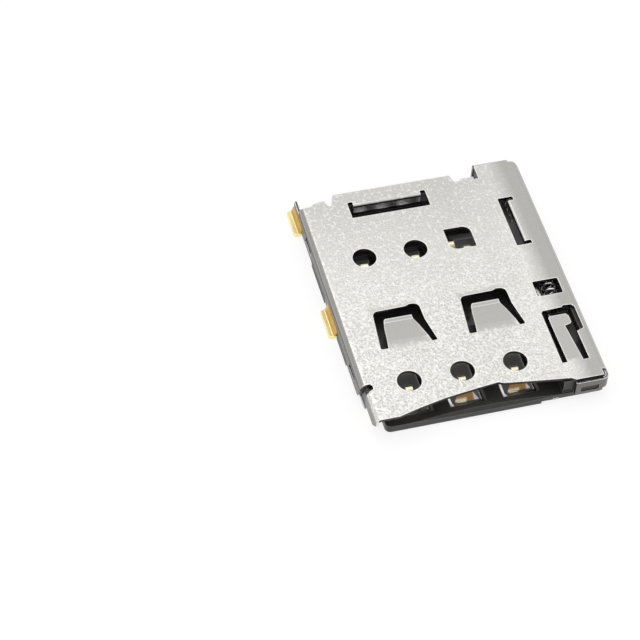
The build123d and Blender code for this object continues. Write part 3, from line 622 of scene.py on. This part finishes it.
def cover_steel(tree, finish, grain, edge, tongues, pressed):
    """The sheet's colour, with its grain, smooth places, punched faces, and painted light: shade on
    the folded walls, the left bend, its crease and the rear, glints on the grain and highlights on the
    cut edges.
    """
    fleck = grain.outputs["Fleck"]
    right = zone(tree, *RIGHT_SIDE)
    calm = any_of(tree, [zone(tree, *REAR_HALF), right])
    # Painted shade: the sheet darker towards the rear end, less so on the right side
    rear_shade = times(tree, zone(tree, *REAR_SHADE), between(tree, right, 1.0, 0.55))
    steel = colour_mix(tree, grain.outputs["Patch"], finish.steel, tinted(finish.steel, 0.94))
    steel = colour_mix(tree, rear_shade, steel, tinted(finish.steel, 0.70))
    steel = colour_mix(tree, pressed, steel, finish.pressed)
    steel = colour_mix(tree, tongues, steel, finish.tongues)
    sharp = times(tree, between(tree, pressed, 1.0, 0.25), between(tree, calm, 1.0, 0.5))
    frost = times(tree, fleck, sharp)
    steel = colour_mix(tree, times(tree, frost, 0.95), steel, finish.pits)
    # Painted highlight: glints of near-white on the frosted grain, fewer at the rear and right
    glints = times(tree, grain.outputs["Sparkle"], between(tree, pressed, 0.75, 0.0))
    glints = times(tree, glints, between(tree, calm, 1.0, 0.65))
    steel = colour_mix(tree, glints, steel, finish.cover_highlight)
    # Painted shade on the folded-down walls
    steel = colour_mix(tree, zones(tree, COVER_WALLS), steel, finish.walls)
    # Painted shade on the outside of the left bend
    steel = colour_mix(tree, zone(tree, *LEFT_FOLD), steel, finish.bend)
    # Painted shade along the crease of the left bend
    crease = times(tree, zone(tree, *LEFT_CREASE), 0.9)
    steel = colour_mix(tree, crease, steel, finish.crease)
    upward = upward_mask(tree)
    # Painted highlight along the edges of the upward faces
    rim = times(tree, edge.outputs["Edge"], span(tree, upward, 0.5, 0.8))
    steel = colour_mix(tree, rim, steel, finish.cover_highlight)
    # The punched faces: rough torn steel, darkened as painted shade inside the holes
    torn = times(tree, span(tree, upward, 0.3, 0.7, 1.0, 0.0), zone(tree, *TOP_SHEET))
    return colour_mix(tree, torn, steel, finish.punched)


def cover_material():
    """Frosted stainless sheet, smoother where it was pressed, with gold feet, painted highlights on
    the cut edges, the grain and the feet's pads, and painted shade on the walls, bends, rear and the
    feet's risers.
    """
    finish = bpy.context.scene.cover_finish
    plating = bpy.context.scene.plating_finish
    material, tree, shader = new_material("Cover Steel", 1.0)
    grain = place(tree, "Frosted Grain", size=finish.grain, stretch=1.0, patch_size=1.6 * MM)
    leaf = place(tree, "Frosted Grain", size=0.16 * MM, stretch=1.0, patch_size=0.5 * MM)
    edge = place(tree, "Broken Edge", radius=0.085 * MM, rounding=0.2)
    tongues = zones(tree, TONGUES)
    pressed = any_of(tree, [tongues, zone(tree, *SLIDER_STRIP)])
    steel = cover_steel(tree, finish, grain, edge, tongues, pressed)
    gold = feet_mask(tree, plating)
    # Painted highlight on the feet's flat pads and painted shade on their upright risers
    pad_highlight = tinted(plating.gold_highlight, 1.0, 0.94, 0.66)
    riser_shade = tinted(plating.gold, 0.72, 0.62, 0.46)
    flash = colour_mix(tree, zone(tree, *FOOT_PADS), riser_shade, pad_highlight)
    flash = colour_mix(tree, times(tree, leaf.outputs["Fleck"], 0.30), flash, plating.gold)
    link(tree, colour_mix(tree, gold, steel, flash), shader.inputs["Base Color"])
    smooth = any_of(tree, [pressed, gold])
    rough = between(tree, smooth, finish.roughness, 0.26)
    rough = plus(tree, rough, times(tree, grain.outputs["Fleck"], 0.08))
    link(tree, rough, shader.inputs["Roughness"])
    height = times(tree, grain.outputs["Height"], between(tree, smooth, 1.0, 0.12))
    dents = times(tree, leaf.outputs["Height"], times(tree, gold, 0.5))
    relief = bump(tree, plus(tree, height, dents), 0.75, 0.025 * MM, edge.outputs["Normal"])
    link(tree, relief, shader.inputs["Normal"])
    return material


def contact_material():
    """Nickel-plated bronze with gold on the sprung tips and on the solder tails."""
    plating = bpy.context.scene.plating_finish
    material, tree, shader = new_material("Contact Plating", 1.0)
    grain = place(tree, "Frosted Grain", size=0.05 * MM, stretch=6.0, patch_size=0.5 * MM)
    edge = place(tree, "Broken Edge", radius=0.03 * MM, rounding=1.0)
    patch = grain.outputs["Patch"]
    beams = soft_box(z=(plating.tip_height / MM, FAR), soft=0.05)
    roots = zones(tree, on_columns(BEAM_ROOT))
    # Where pale gold is painted as highlight: the beam roots and the tips
    highlight_mask = any_of(tree, [roots, zone(tree, *CONTACT_TIPS)])
    gold = any_of(tree, [zones(tree, (beams, TAILS)), highlight_mask])
    nickel = colour_mix(tree, patch, plating.nickel, tinted(plating.nickel, 0.78))
    flash = colour_mix(tree, patch, plating.gold, tinted(plating.gold, 0.80, 0.70, 0.55))
    # Painted dark reflection on the beams' slopes
    flash = colour_mix(tree, zone(tree, *BEAM_SLOPES), flash, plating.slope_reflection)
    # Painted highlight on the tips and the beam roots
    flash = colour_mix(tree, highlight_mask, flash, plating.gold_highlight)
    metal = colour_mix(tree, gold, nickel, flash)
    metal = colour_mix(tree, zones(tree, on_columns(BEAM_SIDE)), metal, plating.nickel)
    # Painted highlight on the front frames' edges
    metal = colour_mix(tree, zones(tree, on_columns(FRAME_EDGE)), metal, plating.frame_highlight)
    # Painted highlight along the sharp edges
    metal = colour_mix(tree, times(tree, edge.outputs["Edge"], 0.8), metal, plating.contact_edge_highlight)
    link(tree, metal, shader.inputs["Base Color"])
    rough = plus(tree, times(tree, grain.outputs["Fleck"], 0.08), 0.12)
    link(tree, rough, shader.inputs["Roughness"])
    normal = bump(tree, grain.outputs["Height"], 0.12, 0.004 * MM, edge.outputs["Normal"])
    link(tree, bump(tree, roots, 1.0, 0.012 * MM, normal), shader.inputs["Normal"])
    return material


def plastic_material(name, colour, fibres_and_edge_highlight, patch_size, underside=None):
    """Glass-filled moulded plastic: nearly black, with short paler fibres, a painted highlight along
    the edges and, where a board side colour is given, painted light on the face that lies on the
    board.
    """
    material, tree, shader = new_material(name, 0.0)
    shader.inputs["Specular IOR Level"].default_value = 0.5
    grain = place(tree, "Frosted Grain", size=0.09 * MM, stretch=0.35, patch_size=patch_size)
    edge = place(tree, "Broken Edge", radius=0.04 * MM, rounding=1.0)
    patch = grain.outputs["Patch"]
    skin = colour_mix(tree, times(tree, grain.outputs["Fleck"], 0.40), colour, fibres_and_edge_highlight)
    # Painted light: the face that lies on the board is a lighter copy of the plastic
    if underside is not None:
        face = colour_mix(tree, patch, underside, tinted(underside, 1.45))
        skin = colour_mix(tree, zone(tree, *BOARD_SIDE), skin, face)
    # Painted highlight along the sharp edges, four times as pale as the fibres
    highlight_mask = times(tree, edge.outputs["Edge"], 0.7)
    skin = colour_mix(tree, highlight_mask, skin, tinted(fibres_and_edge_highlight, 4))
    link(tree, skin, shader.inputs["Base Color"])
    link(tree, between(tree, patch, 0.32, 0.46), shader.inputs["Roughness"])
    normal = bump(tree, grain.outputs["Height"], 0.30, 0.010 * MM, edge.outputs["Normal"])
    link(tree, normal, shader.inputs["Normal"])
    return material


def wire_material():
    """Drawn steel wire with a fine grain, made once for the spring and the pin."""
    if "Wire Steel" in bpy.data.materials:
        return bpy.data.materials["Wire Steel"]
    sizes = bpy.context.scene.wire_sizes
    material, tree, shader = new_material("Wire Steel", 1.0)
    grain = place(tree, "Frosted Grain", size=0.03 * MM, stretch=1.0, patch_size=0.3 * MM)
    metal = colour_mix(tree, grain.outputs["Patch"], sizes.steel, tinted(sizes.steel, 0.8))
    link(tree, metal, shader.inputs["Base Color"])
    rough = plus(tree, times(tree, grain.outputs["Fleck"], 0.10), 0.20)
    link(tree, rough, shader.inputs["Roughness"])
    link(tree, bump(tree, grain.outputs["Height"], 0.15, 0.004 * MM), shader.inputs["Normal"])
    return material


def plate_material():
    """The slider channel's floor plate: the cover's sheet with a finer, rolled grain."""
    finish = bpy.context.scene.cover_finish
    material, tree, shader = new_material("Plate Steel", 1.0)
    grain = place(tree, "Frosted Grain", size=0.06 * MM, stretch=3.0, patch_size=1.0 * MM)
    edge = place(tree, "Broken Edge", radius=0.03 * MM, rounding=1.0)
    fleck = grain.outputs["Fleck"]
    steel = colour_mix(tree, grain.outputs["Patch"], finish.steel, finish.pressed)
    steel = colour_mix(tree, times(tree, fleck, 0.5), steel, finish.pits)
    link(tree, steel, shader.inputs["Base Color"])
    link(tree, plus(tree, times(tree, fleck, 0.10), 0.36), shader.inputs["Roughness"])
    normal = bump(tree, grain.outputs["Height"], 0.40, 0.010 * MM, edge.outputs["Normal"])
    link(tree, normal, shader.inputs["Normal"])
    return material


def dress(nodes, material):
    """Gives the solids of these nodes a material, on the object and not on the mesh."""
    for name in nodes:
        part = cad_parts[name]
        if not part.material_slots:
            part.data.materials.append(material)
        for holder in part.material_slots:
            holder.link = "OBJECT"
            holder.material = material


def tube(name, points, diameter, sides):
    """A round wire along a smooth curve, as a mesh."""
    curve = bpy.data.curves.new(name + "_path", "CURVE")
    curve.dimensions = "3D"
    curve.bevel_depth = diameter / 2
    curve.bevel_resolution = sides
    curve.use_fill_caps = True
    spline = curve.splines.new("NURBS")
    spline.points.add(len(points) - 1)
    for slot, point in zip(spline.points, points):
        slot.co = (*point, 1.0)
    spline.order_u = 3
    spline.resolution_u = 3
    spline.use_endpoint_u = True
    holder = bpy.data.objects.new(name + "_path", curve)
    bpy.context.collection.objects.link(holder)
    bpy.context.view_layer.update()
    graph = bpy.context.evaluated_depsgraph_get()
    mesh = bpy.data.meshes.new_from_object(holder.evaluated_get(graph))
    bpy.data.objects.remove(holder)
    mesh.name = name
    for face in mesh.polygons:
        face.use_smooth = True
    piece = bpy.data.objects.new(name, mesh)
    bpy.context.collection.objects.link(piece)
    return piece


class SOCKET_OT_cover(bpy.types.Operator):
    """Finish the stamped cover and the slider channel's floor plate"""

    bl_idname = "socket.cover"
    bl_label = "Finish Cover"

    def execute(self, context):
        dress(("shell",), cover_material())
        dress(("bottom_plate",), plate_material())
        return {"FINISHED"}


class SOCKET_OT_contacts(bpy.types.Operator):
    """Finish the contacts and the two stiffening strips of the lead frame"""

    bl_idname = "socket.contacts"
    bl_label = "Finish Contacts"

    def execute(self, context):
        dress(CONTACTS + STRIPS, contact_material())
        return {"FINISHED"}


class SOCKET_OT_mouldings(bpy.types.Operator):
    """Finish the moulded housing and slider"""

    bl_idname = "socket.mouldings"
    bl_label = "Finish Mouldings"

    def execute(self, context):
        finish = context.scene.plastic_finish
        housing = plastic_material(
            "Housing Plastic", finish.housing, finish.fibres_and_edge_highlight, 2.4 * MM, finish.lit_board_side
        )
        dress(("housing",), housing)
        dress(("slider",), plastic_material("Slider Plastic", finish.slider, finish.fibres_and_edge_highlight, 0.9 * MM))
        return {"FINISHED"}


class SOCKET_OT_spring(bpy.types.Operator):
    """Wind the eject spring, with closed end turns"""

    bl_idname = "socket.spring"
    bl_label = "Wind Eject Spring"

    def execute(self, context):
        sizes = context.scene.wire_sizes
        centre_x = (spring_low[0] + spring_high[0]) / 2
        centre_z = (spring_low[2] + spring_high[2]) / 2
        radius = (spring_high[2] - spring_low[2] - sizes.spring_wire) / 2
        start = spring_low[1] + sizes.spring_wire / 2
        length = spring_high[1] - spring_low[1] - sizes.spring_wire
        # Points on each turn, turns that lie closed at each end, and how far a closed turn rises
        steps = 12
        closed = 1.25
        rise = sizes.spring_wire * 1.02
        total = sizes.turns + 2 * closed
        pitch = (length - 2 * closed * rise) / sizes.turns
        # The smooth curve runs inside its control points, so they stand a little further out
        reach = radius * 0.985 / math.cos(math.pi / steps)
        points = []
        for step in range(round(total * steps) + 1):
            turn = step / steps
            first = min(turn, closed)
            middle = min(max(turn - closed, 0.0), sizes.turns)
            last = max(turn - closed - sizes.turns, 0.0)
            y = start + first * rise + middle * pitch + last * rise
            angle = 2 * math.pi * turn
            x = centre_x + reach * math.cos(angle)
            z = centre_z + reach * math.sin(angle)
            points.append((x, y, z))
        spring = tube("wound_spring", points, sizes.spring_wire, 2)
        spring.data.materials.append(wire_material())
        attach(spring, "socket")
        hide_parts("eject_spring")
        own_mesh(spring)
        return {"FINISHED"}


class SOCKET_OT_pin(bpy.types.Operator):
    """Finish the cam pin"""

    bl_idname = "socket.pin"
    bl_label = "Finish Cam Pin"

    def execute(self, context):
        dress(("cam_pin",), wire_material())
        return {"FINISHED"}


def floor_material(stage):
    """A white sheet that glows for the camera, with the glow taken out under the part as a painted
    shadow, and from below only for light that it does not see.
    """
    material, tree, shader = new_material("Floor Sheet", 0.0)
    shader.inputs["Roughness"].default_value = 0.9
    shader.inputs["Specular IOR Level"].default_value = 0.1
    shader.inputs["Emission Color"].default_value = (1.0, 1.0, 1.0, 1.0)
    path = tree.nodes.new("ShaderNodeLightPath")
    rays = ("Is Camera Ray", "Is Glossy Ray", "Is Transmission Ray")
    seen = any_of(tree, [path.outputs[name] for name in rays])
    covered = zones(tree, COVERED_FLOOR)
    glow = times(tree, seen, stage.floor_glow)
    # Painted shadow: under the part the floor keeps almost none of the glow that the camera and
    # reflections see
    glow = times(tree, glow, between(tree, covered, 1.0, 0.013))
    unseen = value_node(tree, "SUBTRACT", 1.0, path.outputs["Is Camera Ray"])
    openings = zones(tree, [*on_columns(FRONT_OPENING), *TRAY_OPENINGS])
    closed = times(tree, zone(tree, *CLOSED_TRAY), between(tree, openings, 1.0, 0.0))
    strength = between(tree, closed, stage.under_glow, stage.plate_glow)
    below = times(tree, times(tree, unseen, covered), strength)
    link(tree, plus(tree, glow, below), shader.inputs["Emission Strength"])
    sheet = colour_mix(tree, seen, stage.floor, stage.floor_seen)
    link(tree, sheet, shader.inputs["Base Color"])
    clear = tree.nodes.new("ShaderNodeBsdfTransparent")
    side = tree.nodes.new("ShaderNodeNewGeometry")
    either = tree.nodes.new("ShaderNodeMixShader")
    link(tree, side.outputs["Backfacing"], either.inputs[0])
    link(tree, shader.outputs[0], either.inputs[1])
    link(tree, clear.outputs[0], either.inputs[2])
    link(tree, either.outputs[0], tree.nodes["Material Output"].inputs["Surface"])
    return material


def lay_floor(stage):
    mesh = bpy.data.meshes.new("floor_sheet")
    half = 0.6
    corners = [(-half, -half, 0), (half, -half, 0), (half, half, 0), (-half, half, 0)]
    mesh.from_pydata(corners, [], [(0, 1, 2, 3)])
    floor = bpy.data.objects.new("floor_sheet", mesh)
    bpy.context.collection.objects.link(floor)
    mesh.materials.append(floor_material(stage))


def light_studio(stage):
    """White all around for the camera, softer for the part, with one softbox overhead."""
    world = bpy.data.worlds.new("Studio")
    bpy.context.scene.world = world
    world.use_nodes = True
    tree = world.node_tree
    sky = tree.nodes["Background"]
    sky.inputs["Color"].default_value = (1.0, 1.0, 1.0, 1.0)
    path = tree.nodes.new("ShaderNodeLightPath")
    seen = any_of(tree, [path.outputs[name] for name in ("Is Camera Ray", "Is Transmission Ray")])
    link(tree, between(tree, seen, stage.fill, 1.0), sky.inputs["Strength"])

    lamp = bpy.data.lights.new("overhead_softbox", "AREA")
    lamp.shape = "RECTANGLE"
    lamp.size = 0.20
    lamp.size_y = 0.20
    lamp.energy = stage.softbox
    holder = bpy.data.objects.new("overhead_softbox", lamp)
    bpy.context.collection.objects.link(holder)
    holder.location = (-0.05, 0.06, 0.20)
    holder.rotation_mode = "QUATERNION"
    holder.rotation_quaternion = (-holder.location).to_track_quat("-Z", "Y")


def set_camera(stage):
    """The camera that was fitted to the photo: place, aim and roll."""
    camera = bpy.data.cameras.new("photo_camera")
    camera.lens = stage.lens
    camera.sensor_width = 36.0
    camera.clip_start = 0.005
    camera.clip_end = 5.0
    holder = bpy.data.objects.new("photo_camera", camera)
    bpy.context.collection.objects.link(holder)
    position = Vector((-24.80, -60.54, 78.79)) * MM
    aim = Vector((-5.427, 1.101, 0.70)) * MM
    turn = (aim - position).to_track_quat("-Z", "Y").to_matrix().to_4x4()
    roll = Matrix.Rotation(math.radians(3.421), 4, "Z")
    holder.matrix_world = Matrix.Translation(position) @ turn @ roll
    bpy.context.scene.camera = holder
    bpy.context.scene.view_settings.view_transform = "Standard"


class SOCKET_OT_stage(bpy.types.Operator):
    """Lay the floor sheet, set the lamps and the camera"""

    bl_idname = "socket.stage"
    bl_label = "Set Stage"

    def execute(self, context):
        stage = context.scene.stage_settings
        lay_floor(stage)
        light_studio(stage)
        set_camera(stage)
        return {"FINISHED"}


class SOCKET_PT_panel(bpy.types.Panel):
    bl_label = "Card Socket"
    bl_idname = "SOCKET_PT_panel"
    bl_space_type = "VIEW_3D"
    bl_region_type = "UI"
    bl_category = "Card Socket"

    def draw(self, context):
        for group in SETTINGS:
            box = self.layout.box()
            box.label(text=group.__name__)
            settings = getattr(context.scene, SETTINGS[group])
            for name in group.__annotations__:
                box.prop(settings, name)
        for operator in STEPS:
            self.layout.operator(operator.bl_idname)


SETTINGS = {
    CoverFinish: "cover_finish",
    PlatingFinish: "plating_finish",
    PlasticFinish: "plastic_finish",
    WireSizes: "wire_sizes",
    StageSettings: "stage_settings",
}
STEPS = (
    SOCKET_OT_cover,
    SOCKET_OT_contacts,
    SOCKET_OT_mouldings,
    SOCKET_OT_spring,
    SOCKET_OT_pin,
    SOCKET_OT_stage,
)


def register():
    for group, name in SETTINGS.items():
        bpy.utils.register_class(group)
        setattr(bpy.types.Scene, name, PointerProperty(type=group))
    for operator in STEPS:
        bpy.utils.register_class(operator)
    bpy.utils.register_class(SOCKET_PT_panel)


def unregister():
    bpy.utils.unregister_class(SOCKET_PT_panel)
    for operator in reversed(STEPS):
        bpy.utils.unregister_class(operator)
    for group, name in SETTINGS.items():
        delattr(bpy.types.Scene, name)
        bpy.utils.unregister_class(group)


def main():
    register()
    build_grain_group()
    build_edge_group()
    build_zone_group()
    bpy.ops.socket.cover()
    bpy.ops.socket.contacts()
    bpy.ops.socket.mouldings()
    bpy.ops.socket.spring()
    bpy.ops.socket.pin()
    bpy.ops.socket.stage()


if __name__ == "__main__":
    main()
